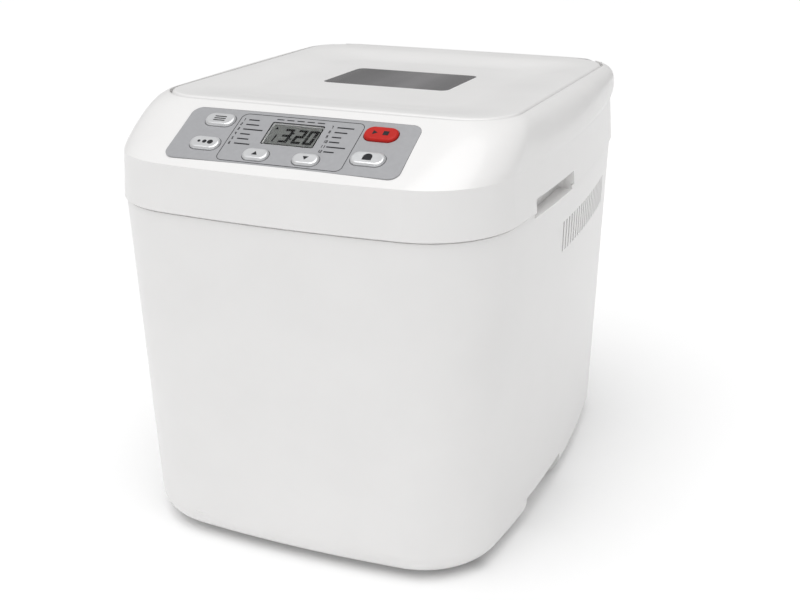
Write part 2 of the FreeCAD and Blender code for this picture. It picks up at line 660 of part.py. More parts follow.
def make_element_clips():
    floor, z, tube = size("chamber_floor + floor_sheet"), size("element_height"), size("element_radius")
    strip = box(-0.6, 0.6, -5, 5, floor, z - tube)
    foot = box(-8, 0.6, -5, 5, floor, floor + 1)
    saddle = box(-tube - 0.8, tube + 0.8, -5, 5, z - tube - 0.8, z)
    clip = joined(strip, foot, saddle).cut(cylinder(tube + 0.02, Vector(0, -9, z), Vector(0, 9, z)))
    clips = []
    for turn, reach in ((0, "element_half_width"), (90, "element_half_depth"), (-90, "element_half_depth")):
        copy = clip.copy()
        copy.translate(Vector(size(reach), 0, 0))
        copy.rotate(Vector(0, 0, 0), Vector(0, 0, 1), turn)
        copy.translate(Vector(0, size("centre_y"), 0))
        clips.append(copy)
    return Part.makeCompound(clips)


moulded("element_clips", make_element_clips())

insulator = lathe([(3.22, 2), (5.5, 2), (5.5, 0), (7.5, 0), (7.5, -3.2), (5.5, -3.2), (5.5, -9), (3.22, -9)])
insulator.rotate(Vector(0, 0, 0), Vector(0, 1, 0), 90)
insulator.translate(Vector(-size("chamber_half_width"), 0, size("element_height")))
moulded("element_insulators", group(insulator, [
    (0, size("centre_y - element_gap / 2")), (0, size("centre_y + element_gap / 2"))]))

sensor = lathe([(0, -12), (6, -12), (6, -9), (2.5, -9), (2.5, 0), (6, 0), (6, 3), (2.5, 3), (2.5, 14), (0, 15)])
sensor.rotate(Vector(0, 0, 0), Vector(1, 0, 0), -90)
sensor.translate(Vector(45, size("centre_y - chamber_half_depth") - 3, 95))
moulded("temperature_sensor", sensor)

fuse_wall = -size("chamber_half_width")
fuse_y = 60
moulded("thermal_fuse", joined(
    cylinder(4, Vector(fuse_wall - 4.6, fuse_y, 138), Vector(fuse_wall - 4.6, fuse_y, 164)),
    box(fuse_wall - 5.2, fuse_wall, fuse_y - 10, fuse_y + 10, 148, 154)))


# Pan socket, springs and drive

PAN = {"x": "0", "y": "centre_y"}
MOTOR = {"x": "0", "y": "motor_y"}

socket = turned("pan_socket", [
    ("8", "28"), ("11", "28"), ("11", "chamber_floor + floor_sheet"), ("46", "chamber_floor + floor_sheet"),
    ("46", "45.5"), ("43", "45.5"), ("43", "55"), ("40", "55"), ("40", "45.5"), ("8", "45.5")], **PAN)
spring_sketch = new_sketch(socket, offset="55")
for left, right in (("37", "47"), ("-47", "-37")):
    draw_round_rectangle(spring_sketch, left, right, "-9", "9", "1")
pocket(socket, spring_sketch, "8")

SPRING_PROFILE = [(44.2, 45.5), (44.2, 47), (39.2, 50), (39.2, 51), (43, 56.5), (43.6, 56.5), (39.9, 51),
                  (39.9, 50.4), (44.8, 47.4), (44.8, 45.5)]
spring_points = [Vector(x, -7, z) for x, z in SPRING_PROFILE]
spring = Part.Face(Part.makePolygon(spring_points + spring_points[:1])).extrude(Vector(0, 14, 0))
springs = Part.makeCompound([spring, mirrored(spring)])
springs.translate(Vector(0, size("centre_y"), 0))
moulded("socket_springs", springs)

turned("drive_bush", [("shaft_radius + running_fit", "29"), ("8", "29"), ("8", "47"),
                      ("shaft_radius + running_fit", "47")], **PAN)
turned("drive_shaft", [("0", "10"), ("shaft_radius - 0.5", "10"), ("shaft_radius", "10.5"),
                       ("shaft_radius", "50"), ("0", "50")], **PAN)
turned("shaft_clip", [("shaft_radius", "11"), ("8", "11"), ("8", "12"), ("shaft_radius", "12")], **PAN)

belt_top = "belt_low + belt_width"
pulley = turned("drive_pulley", [
    ("shaft_radius", "13"), ("11", "13"), ("11", "17"), ("drive_pulley_radius - 4", "17"),
    ("drive_pulley_radius - 4", "14"), ("drive_pulley_radius + 2.4", "14"),
    ("drive_pulley_radius + 2.4", "belt_low - 0.2"), ("drive_pulley_radius", "belt_low - 0.2"),
    ("drive_pulley_radius", f"{belt_top} + 0.2"), ("drive_pulley_radius + 2.4", f"{belt_top} + 0.2"),
    ("drive_pulley_radius + 2.4", "24"), ("drive_pulley_radius - 4", "24"), ("drive_pulley_radius - 4", "20"),
    ("11", "20"), ("11", "27.5"), ("shaft_radius", "27.5")], **PAN)
web_sketch = new_sketch(pulley, offset="20")
draw_circle(web_sketch, "7", "22.5")
first_hole = pocket(pulley, web_sketch, "4")
pattern(pulley, "PolarPattern", first_hole, "Z_Axis", 6, 360)

coupling = turned("drive_coupling", [("shaft_radius", "47.5"), ("16", "47.5"), ("16", "50"),
                                     ("shaft_radius", "50")], **PAN)
post_sketch = new_sketch(coupling, offset="49")
draw_circle(post_sketch, "3", "12")
draw_circle(post_sketch, "3", "-12")
pad(coupling, post_sketch, "5.5")

turned("motor_shaft", [("0", "11"), ("motor_shaft_radius", "11"), ("motor_shaft_radius", "127"),
                       ("0", "127")], **MOTOR)
turned("motor_pulley", [
    ("motor_shaft_radius", "12"), ("8", "12"), ("8", "13.8"), ("motor_pulley_radius + 2.4", "13.8"),
    ("motor_pulley_radius + 2.4", "belt_low - 0.2"), ("motor_pulley_radius", "belt_low - 0.2"),
    ("motor_pulley_radius", f"{belt_top} + 0.2"), ("motor_pulley_radius + 2.4", f"{belt_top} + 0.2"),
    ("motor_pulley_radius + 2.4", "24.2"), ("8", "24.2"), ("8", "32"), ("motor_shaft_radius", "32")], **MOTOR)

fan = new_body("motor_fan")
fan_sketch = new_sketch(fan, offset="116")
draw_circle(fan_sketch, "8")
draw_circle(fan_sketch, "motor_shaft_radius")
pad(fan, fan_sketch, "10")
blade_sketch = new_sketch(fan, offset="117")
draw_polygon(blade_sketch, [("6.5", "-2.5"), ("30", "4"), ("30", "5.4"), ("6.5", "-0.9")])
blade = pad(fan, blade_sketch, "8")
pattern(fan, "PolarPattern", blade, "Z_Axis", 9, 360)
fan.setExpression("Placement.Base.y", bound("motor_y"))


def belt_face(growth):
    """Outline round both pulleys, grown outwards by growth."""
    large, small = size("drive_pulley_radius") + growth, size("motor_pulley_radius") + growth
    far, near, low = size("centre_y"), size("motor_y"), size("belt_low")
    lean = math.asin((large - small) / (far - near))
    side = Vector(math.cos(lean), -math.sin(lean), 0)
    other = Vector(-side.x, side.y, 0)
    middle_far, middle_near = Vector(0, far, low), Vector(0, near, low)
    far_arc = Part.Arc(middle_far + side * large, middle_far + Vector(0, large, 0), middle_far + other * large)
    near_arc = Part.Arc(middle_near + other * small, middle_near - Vector(0, small, 0), middle_near + side * small)
    edges = [far_arc.toShape(), Part.LineSegment(far_arc.EndPoint, near_arc.StartPoint).toShape(),
             near_arc.toShape(), Part.LineSegment(near_arc.EndPoint, far_arc.StartPoint).toShape()]
    return Part.Face(Part.Wire(edges))


belt_gap = size("belt_gap")
belt_section = belt_face(belt_gap + size("belt_thickness")).cut(belt_face(belt_gap))
moulded("drive_belt", belt_section.extrude(Vector(0, 0, size("belt_width"))))


# Motor, bracket, capacitor and boards

motor_bore = "motor_shaft_radius + running_fit"
motor_top = "motor_base + motor_height"
turned("motor", [
    (motor_bore, "motor_base"), ("30", "motor_base"), ("33", "motor_base + 4"), ("motor_radius", "motor_base + 4"),
    ("motor_radius", "motor_base + 20"), ("motor_radius - 2", "motor_base + 20"),
    ("motor_radius - 2", f"{motor_top} - 20"), ("motor_radius", f"{motor_top} - 20"),
    ("motor_radius", f"{motor_top} - 6"), ("33", f"{motor_top} - 6"), ("28", motor_top), ("12", motor_top),
    ("12", f"{motor_top} + 3"), (motor_bore, f"{motor_top} + 3")], **MOTOR)

bracket = new_body("motor_bracket")
bracket_sketch = new_sketch(bracket, "XZ_Plane")
plate_top = "foot_height + wall + plate_thickness"
draw_polygon(bracket_sketch, [
    ("-62", plate_top), ("-47.5", plate_top), ("-47.5", "motor_base - 2.5"), ("47.5", "motor_base - 2.5"),
    ("47.5", plate_top), ("62", plate_top), ("62", f"{plate_top} + 2.5"), ("50", f"{plate_top} + 2.5"),
    ("50", "motor_base"), ("-50", "motor_base"), ("-50", f"{plate_top} + 2.5"), ("-62", f"{plate_top} + 2.5")])
pad(bracket, bracket_sketch, "60")
nose_sketch = new_sketch(bracket, offset="motor_base")
draw_circle(nose_sketch, "13", "0", "-30")
pocket(bracket, nose_sketch, "4")
bracket.setExpression("Placement.Base.y", bound("motor_y + 30"))

turned("run_capacitor", [
    ("0", plate_top), ("15", plate_top), ("16", f"{plate_top} + 1"), ("16", f"{plate_top} + 50"),
    ("14", f"{plate_top} + 52"), ("0", f"{plate_top} + 52")], x="84", y="-96")

board_low = size(plate_top)
moulded("power_board", joined(
    box(-81.6, -80, -130, -68, board_low, 120), box(-80, -52, -125, -95, 62, 90), box(-80, -64, -90, -74, 96, 116),
    box(-80, -66, -122, -104, 98, 114), box(-80, -70, -92, -72, 20, 60),
    cylinder(7, Vector(-80, -112, 44), Vector(-58, -112, 44))))


def make_control_board():
    shift, top = size("label_shift"), -size("board_drop")
    half = size("board_half_width")
    board = slope_box(shift - half, shift + half, 9, 50, top - size("board_thickness"), top)
    switches = []
    for name, x, up, half_length, half_height in BUTTONS:
        switches.append(slope_box(shift + x - 3, shift + x + 3, up - 3, up + 3, top - 0.2,
                                  top + size("switch_height")))
    socket_block = slope_box(shift - 20, shift + 12, 12, 18, top - size("board_thickness") - 8,
                             top - size("board_thickness") + 0.2)
    return joined(board, socket_block, *switches)


moulded("control_board", make_control_board())

lens_left = size("label_shift + lens_shift - lens_half_width")
lens_right = size("label_shift + lens_shift + lens_half_width")
panel = size("panel_thickness")
moulded("lcd_module", joined(
    slope_box(lens_left - 1.5, lens_right + 1.5, size("lens_low") - 1, size("lens_high") + 1,
              -size("board_drop"), -panel - 0.2),
    slope_box(lens_left + 1.5, lens_right - 1.5, size("lens_low") + 1.5, size("lens_high") - 1.5,
              -panel - 0.4, -0.3)))

label = new_body("control_label")
label_sketch = new_sketch(label)
draw_round_rectangle(label_sketch, "-label_half_width", "label_half_width", "label_low", "label_high",
                     "label_corner")
draw_round_rectangle(label_sketch, "lens_shift - lens_half_width - 0.1", "lens_shift + lens_half_width + 0.1",
                     "lens_low - 0.1", "lens_high + 0.1", "lens_corner + 0.1")
for name, x, up, half_length, half_height in BUTTONS:
    grown = f"{half_height} + button_gap"
    draw_round_rectangle(label_sketch, f"{x} - {half_length} - button_gap", f"{x} + {half_length} + button_gap",
                         f"{up} - {half_height} - button_gap", f"{up} + {half_height} + button_gap",
                         f"{PILL_ROUND} * ({grown})")
pad(label, label_sketch, "label_thickness")
label.Placement = on_slope(size("label_shift"), 0, 0)

lens = new_body("display_lens")
lens_sketch = new_sketch(lens)
draw_round_rectangle(lens_sketch, "lens_shift - lens_half_width", "lens_shift + lens_half_width", "lens_low",
                     "lens_high", "lens_corner")
pad(lens, lens_sketch, "label_thickness")
lens.Placement = on_slope(size("label_shift"), 0, 0)


def make_button(name, x, up, half_length, half_height):
    """Pill cap with a flange behind the console and a stem over its switch."""
    body = new_body(name)
    behind = "-panel_thickness - 0.1"

    def rectangle(sketch, growth):
        draw_round_rectangle(sketch, f"-{half_length} - {growth}", f"{half_length} + {growth}",
                             f"-{half_height} - {growth}", f"{half_height} + {growth}",
                             f"{PILL_ROUND} * ({half_height} + {growth})")
    cap_sketch = new_sketch(body, offset=behind)
    rectangle(cap_sketch, "0")
    pad(body, cap_sketch, "panel_thickness + 0.1 + button_rise")
    top = size("button_rise")
    round_edges(body, "button_round", lambda edge: edge.BoundBox.ZMin > top - 0.01)
    flange_sketch = new_sketch(body, offset=behind)
    rectangle(flange_sketch, "1.2")
    pad(body, flange_sketch, "1.2", reverse=True)
    stem_sketch = new_sketch(body, offset=f"{behind} - 1")
    draw_circle(stem_sketch, "2.4")
    stem_end = "board_drop - switch_height - button_travel - 0.1"
    pad(body, stem_sketch, f"{stem_end} - panel_thickness - 1.1", reverse=True)
    body.Placement = on_slope(size("label_shift") + x, up, 0)


for button in BUTTONS:
    make_button(*button)


# Bread pan, foot, bearing, seal, handle and paddle

def pan_block(inset, floor, top):
    """Tapered block of the pan, taken in by inset, with a round bottom edge."""
    middle = size("centre_y")

    def ring(height):
        share = (height - size("pan_bottom")) / size("pan_top - pan_bottom")
        x = size("pan_base_half_width") + size("pan_half_width - pan_base_half_width") * share - inset
        y = size("pan_base_half_depth") + size("pan_half_depth - pan_base_half_depth") * share - inset
        radius = size("pan_base_corner") + size("pan_corner - pan_base_corner") * share - inset
        return rounded_wire(-x, x, middle - y, middle + y, radius, height)
    block = Part.makeLoft([ring(floor), ring(top)], True, True)
    bottom = [edge for edge in block.Edges if edge.BoundBox.ZMax < floor + 0.01]
    return block.makeFillet(9 - inset, bottom)


def make_bread_pan():
    bottom, top, wall, rim = size("pan_bottom"), size("pan_top"), size("pan_wall"), size("pan_rim")
    x, y, middle = size("pan_half_width") + rim, size("pan_half_depth") + rim, size("centre_y")
    flange = prism(-x, x, middle - y, middle + y, size("pan_corner") + rim, top - wall, top)
    pan = joined(pan_block(0, bottom, top), flange).cut(pan_block(wall, bottom + wall, top + 1))
    pivot = size("handle_pivot")
    holes = [cylinder(8.2, Vector(0, middle, 40), Vector(0, middle, 80)),
             cylinder(2, Vector(-90, middle, pivot), Vector(90, middle, pivot))]
    return pan.cut(holes)


moulded("bread_pan", make_bread_pan())

turned("pan_foot", [("8.2", "55"), ("33.5", "55"), ("33.5", "45.5"), ("37", "45.5"), ("37", "pan_bottom"),
                    ("8.2", "pan_bottom")], **PAN)
pan_bore = "pan_shaft_radius + running_fit"
turned("pan_bush", [(pan_bore, "56"), ("8.2", "56"), ("8.2", "68"), (pan_bore, "68")], **PAN)
turned("shaft_seal", [(pan_bore, "68"), ("7.5", "68"), ("6.5", "70.5"), (pan_bore, "70.5")], **PAN)
turned("pan_shaft", [("0", "50.7"), ("pan_shaft_radius", "50.7"), ("pan_shaft_radius", "85"),
                     ("pan_shaft_radius - 1", "86"), ("0", "86")], **PAN)

wing = new_body("pan_coupling")
wing_sketch = new_sketch(wing, offset="51")
draw_round_rectangle(wing_sketch, "-3.5", "3.5", "-14.5", "14.5", "2")
draw_circle(wing_sketch, "pan_shaft_radius * 0.8")
pad(wing, wing_sketch, "3.5")
wing_hub = new_sketch(wing, offset="51")
draw_circle(wing_hub, "7")
draw_circle(wing_hub, "pan_shaft_radius * 0.8")
pad(wing, wing_hub, "3.5")
bore_sketch = new_sketch(wing, offset="54.5")
draw_circle(bore_sketch, "pan_shaft_radius")
pocket(wing, bore_sketch, "4")
wing.setExpression("Placement.Base.y", bound("centre_y"))

paddle = new_body("kneading_paddle")
hub = new_sketch(paddle, offset="71.5")
draw_circle(hub, "9")
pad(paddle, hub, "18")
blade_sketch = new_sketch(paddle, offset="71.5")
draw_polygon(blade_sketch, [("0", "-4.5"), ("20", "-5"), ("42", "1"), ("47", "4"), ("46", "7"), ("40", "6.5"),
                            ("20", "2.5"), ("0", "4.5")])
pad(paddle, blade_sketch, "26")
shaft_sketch = new_sketch(paddle, offset="71.5")
draw_circle(shaft_sketch, "pan_shaft_radius")
pocket(paddle, shaft_sketch, "15", reverse=True)
paddle.setExpression("Placement.Base.y", bound("centre_y"))

rivet = lathe([(0, 70.4), (2, 70.4), (2, 72.2), (4, 72.2), (4, 76.6), (2, 76.6), (2, 81.4), (4, 81.4), (3, 83),
               (0, 83)])
rivet.rotate(Vector(0, 0, 0), Vector(0, 1, 0), 90)
rivets = Part.makeCompound([rivet, mirrored(rivet)])
rivets.translate(Vector(0, size("centre_y"), size("handle_pivot")))
moulded("handle_rivets", rivets)


def make_pan_handle():
    """Wire bail folded forward over the rim, with an eye on each rivet."""
    reach, side, wire, bend = size("handle_reach"), size("handle_half_width"), size("handle_wire"), 12
    rest = math.degrees(math.asin((size("pan_top - handle_pivot") + wire + 0.8) / (reach - bend)))
    ends = [Vector(side, -3, 0), Vector(side, bend - reach, 0)]
    turn = bend * math.sqrt(0.5)
    near_arc = Part.Arc(ends[1], Vector(side - bend + turn, bend - reach - turn, 0), Vector(side - bend, -reach, 0))
    far_arc = Part.Arc(Vector(bend - side, -reach, 0), Vector(bend - side - turn, bend - reach - turn, 0),
                       Vector(-side, bend - reach, 0))
    path = Part.Wire([
        Part.LineSegment(*ends).toShape(), near_arc.toShape(),
        Part.LineSegment(near_arc.EndPoint, far_arc.StartPoint).toShape(), far_arc.toShape(),
        Part.LineSegment(far_arc.EndPoint, Vector(-side, -3, 0)).toShape()])
    bail = swept(path, wire)
    eye = cylinder(4.6, Vector(side - wire - 0.3, 0, 0), Vector(side + wire + 0.3, 0, 0))
    bore = cylinder(2 + size("running_fit"), Vector(-100, 0, 0), Vector(100, 0, 0))
    bail = joined(bail, eye, mirrored(eye)).cut(bore)
    bail.rotate(Vector(0, 0, 0), Vector(1, 0, 0), -rest)
    bail.translate(Vector(0, size("centre_y"), size("handle_pivot")))
    return bail


moulded("pan_handle", make_pan_handle())


# Lid: dished cover with a round back edge on two pins, window, gasket, liner and screws

LID_SCREWS = [(-84, -70), (84, -70), (-84, 95), (84, 95)]
LINER = (-97.5, 97.5, -83.5, 108.5)
LINER_CORNER = 19.5


def window_prism(growth, low, high):
    x, y = size("window_half_width") + growth, size("window_half_depth") + growth
    middle = size("window_y")
    return prism(-x, x, middle - y, middle + y, size("window_corner") + max(growth, -3), low, high)


def dish_cutter():
    """Shallow hollow of the lid's top, with a smooth border."""
    top, depth = size("lid_top"), size("dish_depth")
    x, front, rear = size("lid_half_width - dish_margin"), size("dish_margin - lid_front"), size("dish_rear")
    corner = size("dish_corner")
    rings = []
    steps = 6
    for i in range(steps + 1):
        share = i / steps
        inset = size("dish_border") * share
        drop = depth * (3 * share ** 2 - 2 * share ** 3)
        rings.append(rounded_wire(inset - x, x - inset, front + inset, rear - inset, corner, top - drop))
    hollow = Part.makeLoft(list(reversed(rings)), True, False)
    return hollow.fuse(prism(-x, x, front, rear, corner, top - 0.001, top + 5))


def inside_liner(inset, low, high):
    """Upright block with the liner's outline, taken in by inset."""
    left, right, front, rear = LINER
    return prism(left + inset, right - inset, front + inset, rear - inset, LINER_CORNER - inset, low, high)


def make_lid_cover():
    half, front, rear = size("lid_half_width"), size("lid_front"), size("lid_rear")
    low, top, corner = size("lid_bottom"), size("lid_top"), size("lid_corner")
    plate_block = prism(-half, half, -front, rear, corner, low, top)
    rim_edges = [edge for edge in plate_block.Edges if edge.BoundBox.ZMin > top - 0.01]
    plate_block = plate_block.makeFillet(size("lid_edge_round"), rim_edges)
    round_back = hinge_cylinder(size("back_radius"), FAR)
    plate_block = plate_block.common(box(-FAR, FAR, -FAR, size("hinge_y"), 0, FAR).fuse(round_back))
    inner_low = size("liner_height + liner_thickness")
    ring_wall = inside_liner(0.5, inner_low, low + 0.5)
    ring_wall = ring_wall.cut(inside_liner(0.5 + size("lid_rib"), inner_low - 1, low + 1))
    tunnel = window_prism(4, inner_low, low + 0.5)
    added = [ring_wall, tunnel]
    for x, y in LID_SCREWS:
        added.append(cylinder(4.5, Vector(x, y, inner_low), Vector(x, y, low + 0.5)))
    cover = joined(plate_block, *added)
    pin_hole = hinge_cylinder(size("pin_radius + running_fit"), size("pin_reach"), size("pin_start") - 0.5)
    cutters = [dish_cutter(), window_prism(0.15, low, FAR), window_prism(-size("window_ledge"), 200, FAR),
               pin_hole, mirrored(pin_hole)]
    for x, y in LID_SCREWS:
        cutters.append(cylinder(1.5, Vector(x, y, 200), Vector(x, y, low)))
    return cover.cut(cutters)


moulded("lid_cover", on_lid(make_lid_cover()))

pane_low = size("lid_bottom + gasket_thickness")
gasket = window_prism(0, size("lid_bottom"), pane_low).cut(window_prism(-size("window_ledge"), 200, FAR))
moulded("window_gasket", on_lid(gasket))
moulded("window_pane", on_lid(window_prism(0, pane_low, pane_low + size("pane_thickness"))))


def make_lid_liner():
    sheet_plate = inside_liner(0, size("liner_height"), size("liner_height + liner_thickness"))
    cutters = [window_prism(-size("window_ledge"), 200, FAR)]
    for x, y in LID_SCREWS:
        cutters.append(cylinder(1.7, Vector(x, y, 200), Vector(x, y, FAR)))
    for side in (-1, 1):
        for i in range(8):
            y = -46 + i * 17
            cutters.append(prism(side * 70 - 8, side * 70 + 8, y, y + 5, 2.4, 200, FAR))
    return sheet_plate.cut(cutters)


moulded("lid_liner", on_lid(make_lid_liner()))
liner_low = size("liner_height")
lid_screw = lathe([(0, liner_low - 1.8), (2.4, liner_low - 1.8), (3, liner_low), (1.5, liner_low),
                   (1.5, liner_low + 8), (0, liner_low + 8)])
moulded("lid_screws", on_lid(group(lid_screw, LID_SCREWS)))

pin = hinge_cylinder(size("pin_radius"), size("pin_reach"), size("pin_start"))
moulded("hinge_pins", on_lid(Part.makeCompound([pin, mirrored(pin)])))


# Checks and export

doc.recompute()
for item in doc.Objects:
    if "Invalid" in item.State or "Error" in item.State:
        raise ValueError(f"{item.Name} failed: {item.State}")
os.makedirs("parts", exist_ok=True)
for piece in nodes:
    if piece.Shape.isNull() or not piece.Shape.isValid():
        raise ValueError(f"{piece.Label} has no valid shape")
    piece.Shape.exportStep(f"parts/{piece.Label}.step")
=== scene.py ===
"""Bread machine: materials for the solids, flat prints on the console, studio and camera."""

import json
import math

import bpy
from mathutils import Matrix, Vector


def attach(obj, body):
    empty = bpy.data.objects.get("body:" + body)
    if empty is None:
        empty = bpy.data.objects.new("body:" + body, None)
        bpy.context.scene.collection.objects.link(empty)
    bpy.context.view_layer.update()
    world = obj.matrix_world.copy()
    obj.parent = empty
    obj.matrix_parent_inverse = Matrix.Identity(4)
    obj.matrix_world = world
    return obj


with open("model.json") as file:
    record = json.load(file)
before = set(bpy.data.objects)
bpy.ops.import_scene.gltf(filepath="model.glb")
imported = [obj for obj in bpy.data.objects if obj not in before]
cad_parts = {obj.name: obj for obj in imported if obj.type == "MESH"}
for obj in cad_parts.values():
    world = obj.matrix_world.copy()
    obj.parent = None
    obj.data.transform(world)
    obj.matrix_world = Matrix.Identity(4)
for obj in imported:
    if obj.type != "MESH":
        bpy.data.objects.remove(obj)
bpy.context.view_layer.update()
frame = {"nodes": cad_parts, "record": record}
scene = bpy.context.scene
MM = 0.001

# Materials

RAMP_START = 0.3
RAMP_END = 0.7
LEAST_ROUGHNESS = 0.02
ROUGHNESS_SPREAD = 0.06
COAT_ROUGHNESS = 0.12
GRAIN_SCALE = 900
GRAIN_DETAIL = 2
GRAIN_HEIGHT = 0.0002
# Painted reflection: stretched noise streaks in a glass's base colour stand for light streaks reflected on
# it
REFLECTION_STREAK_SCALE = 34
REFLECTION_STREAK_DETAIL = 3
REFLECTION_STREAK_STRETCH = (1, 0.08, 1)


def shader(name):
    """New material, its node tree and its surface shader."""
    material = bpy.data.materials.new(name)
    material.use_nodes = True
    tree = material.node_tree
    return material, tree, tree.nodes["Principled BSDF"]


def noise_node(tree, scale, detail, stretch=(1, 1, 1)):
    """Noise over the object's own coordinates, stretched along its axes."""
    place = tree.nodes.new("ShaderNodeTexCoord")
    mapping = tree.nodes.new("ShaderNodeMapping")
    mapping.inputs["Scale"].default_value = stretch
    noise = tree.nodes.new("ShaderNodeTexNoise")
    noise.inputs["Scale"].default_value = scale
    noise.inputs["Detail"].default_value = detail
    tree.links.new(place.outputs["Object"], mapping.inputs["Vector"])
    tree.links.new(mapping.outputs["Vector"], noise.inputs["Vector"])
    return noise


def tint(tree, surface, noise, colour, spread):
    """Base colour that a noise takes from a little darker to a little lighter."""
    low = [channel * (1 - spread) for channel in colour]
    high = [min(1, channel * (1 + spread)) for channel in colour]
    ramp = tree.nodes.new("ShaderNodeValToRGB")
    stops = ramp.color_ramp.elements
    stops[0].position = RAMP_START
    stops[1].position = RAMP_END
    stops[0].color = (*low, 1)
    stops[1].color = (*high, 1)
    tree.links.new(noise.outputs["Fac"], ramp.inputs["Fac"])
    tree.links.new(ramp.outputs["Color"], surface.inputs["Base Color"])


def add_grain(tree, surface, strength):
    """Fine unevenness of the surface's level."""
    grain = noise_node(tree, GRAIN_SCALE, GRAIN_DETAIL)
    level = tree.nodes.new("ShaderNodeBump")
    level.inputs["Strength"].default_value = strength
    level.inputs["Distance"].default_value = GRAIN_HEIGHT
    tree.links.new(grain.outputs["Fac"], level.inputs["Height"])
    tree.links.new(level.outputs["Normal"], surface.inputs["Normal"])


def finish_material(name, colour, roughness, metal=0.0, spread=0.04, scale=60, detail=4, bump=0.0, coat=0.0,
                    shine=0.5):
    """Surface with a slight unevenness of colour, gloss and level."""
    material, tree, surface = shader(name)
    noise = noise_node(tree, scale, detail)
    tint(tree, surface, noise, colour, spread)
    gloss = tree.nodes.new("ShaderNodeMapRange")
    gloss.inputs["To Min"].default_value = max(LEAST_ROUGHNESS, roughness - ROUGHNESS_SPREAD)
    gloss.inputs["To Max"].default_value = min(1, roughness + ROUGHNESS_SPREAD)
    tree.links.new(noise.outputs["Fac"], gloss.inputs["Value"])
    tree.links.new(gloss.outputs["Result"], surface.inputs["Roughness"])
    surface.inputs["Metallic"].default_value = metal
    surface.inputs["Specular IOR Level"].default_value = shine
    surface.inputs["Coat Weight"].default_value = coat
    surface.inputs["Coat Roughness"].default_value = COAT_ROUGHNESS
    if bump:
        add_grain(tree, surface, bump)
    return material


def glass_material(name, colour, roughness, clear, painted_reflection_streaks, bend):
    """Tinted see-through sheet with faint painted reflection streaks along the depth, as lighter and darker
    bands in its base colour.
    """
    material, tree, surface = shader(name)
    noise = noise_node(tree, REFLECTION_STREAK_SCALE, REFLECTION_STREAK_DETAIL, REFLECTION_STREAK_STRETCH)
    tint(tree, surface, noise, colour, painted_reflection_streaks)
    surface.inputs["Roughness"].default_value = roughness
    surface.inputs["Transmission Weight"].default_value = clear
    surface.inputs["IOR"].default_value = bend
    return material


FINISHES = {
    "white_plastic": dict(colour=(0.845, 0.838, 0.832), roughness=0.34, spread=0.012, scale=25, bump=0.05,
                          coat=0.25),
    "galvanised_steel": dict(colour=(0.6, 0.61, 0.62), roughness=0.42, metal=1.0, spread=0.1, scale=130,
                             detail=5, bump=0.08),
    "black_rubber": dict(colour=(0.025, 0.025, 0.026), roughness=0.75, spread=0.2, bump=0.2),
    "bright_steel": dict(colour=(0.66, 0.66, 0.67), roughness=0.25, metal=1.0, spread=0.06, scale=300),
    "element_sheath": dict(colour=(0.16, 0.15, 0.15), roughness=0.55, metal=0.8, spread=0.25, scale=90),
    "white_ceramic": dict(colour=(0.82, 0.8, 0.75), roughness=0.6, spread=0.05, bump=0.1),
    "cast_aluminium": dict(colour=(0.6, 0.61, 0.62), roughness=0.5, metal=1.0, spread=0.08, scale=200,
                           bump=0.15),
    "bearing_brass": dict(colour=(0.72, 0.53, 0.22), roughness=0.35, metal=1.0, spread=0.08, scale=200),
    "dark_nonstick": dict(colour=(0.055, 0.055, 0.058), roughness=0.45, metal=0.2, spread=0.25, scale=700,
                          detail=3, bump=0.15),
    "motor_enamel": dict(colour=(0.1, 0.105, 0.115), roughness=0.5, metal=0.1, spread=0.15, scale=120),
    "black_plastic": dict(colour=(0.03, 0.03, 0.033), roughness=0.5, spread=0.15, bump=0.1),
    "board_green": dict(colour=(0.02, 0.16, 0.07), roughness=0.45, spread=0.15, scale=250),
    "silver_label": dict(colour=(0.38, 0.382, 0.395), roughness=0.45, metal=0.2, spread=0.03, scale=400,
                         detail=3, bump=0.04),
    "display_grey": dict(colour=(0.17, 0.174, 0.166), roughness=0.6, spread=0.06, scale=160, shine=0.1),
    "pale_button": dict(colour=(0.72, 0.725, 0.735), roughness=0.3, metal=0.55, spread=0.02, scale=120),
    "red_button": dict(colour=(0.5, 0.018, 0.013), roughness=0.4, spread=0.08, scale=150, shine=0.2),
}
GLASSES = {
    "clear_lens": dict(colour=(0.97, 0.98, 0.98), roughness=0.02, clear=0.99, painted_reflection_streaks=0.01, bend=1.08),
    # the smoked glass carries strong painted reflection streaks in its base colour, the lens almost none
    "smoked_glass": dict(colour=(0.13, 0.125, 0.13), roughness=0.22, clear=0.2, painted_reflection_streaks=0.45, bend=1.3),
}
INK = finish_material("print_ink", (0.03, 0.03, 0.033), roughness=0.6, spread=0.2, scale=500, shine=0.1)
SEGMENT = finish_material("display_segment", (0.003, 0.003, 0.003), roughness=0.9, spread=0.2, scale=300,
                          shine=0)


def dress_solids():
    """Every solid of the frame takes the look of its material slot."""
    looks = {name: finish_material(name, **values) for name, values in FINISHES.items()}
    for name, values in GLASSES.items():
        looks[name] = glass_material(name, **values)
    slots = {entry["node"]: entry["material_slot"] for entry in frame["record"]["subparts"]}
    for node, solid in frame["nodes"].items():
        solid.data.materials.clear()
        solid.data.materials.append(looks[slots[node]])


# Console frame: x across from the label's middle, up the slope and out of the label's seat, in mm

SLOPE_RISE = 0.44845250
SLOPE_RUN = 0.89380666
SLOPE_TURN = math.atan2(SLOPE_RISE, SLOPE_RUN)
SLOPE_FOOT = Vector((0, -149.2, 236)) * MM
SEAT_DEPTH = 0.9
LABEL_SHIFT = -2.5
LABEL_FACE = 0.8
BUTTON_FACE = 2.4
DISPLAY_FACE = -0.3
INK_LIFT = 0.03
INK_DEPTH = 0.05


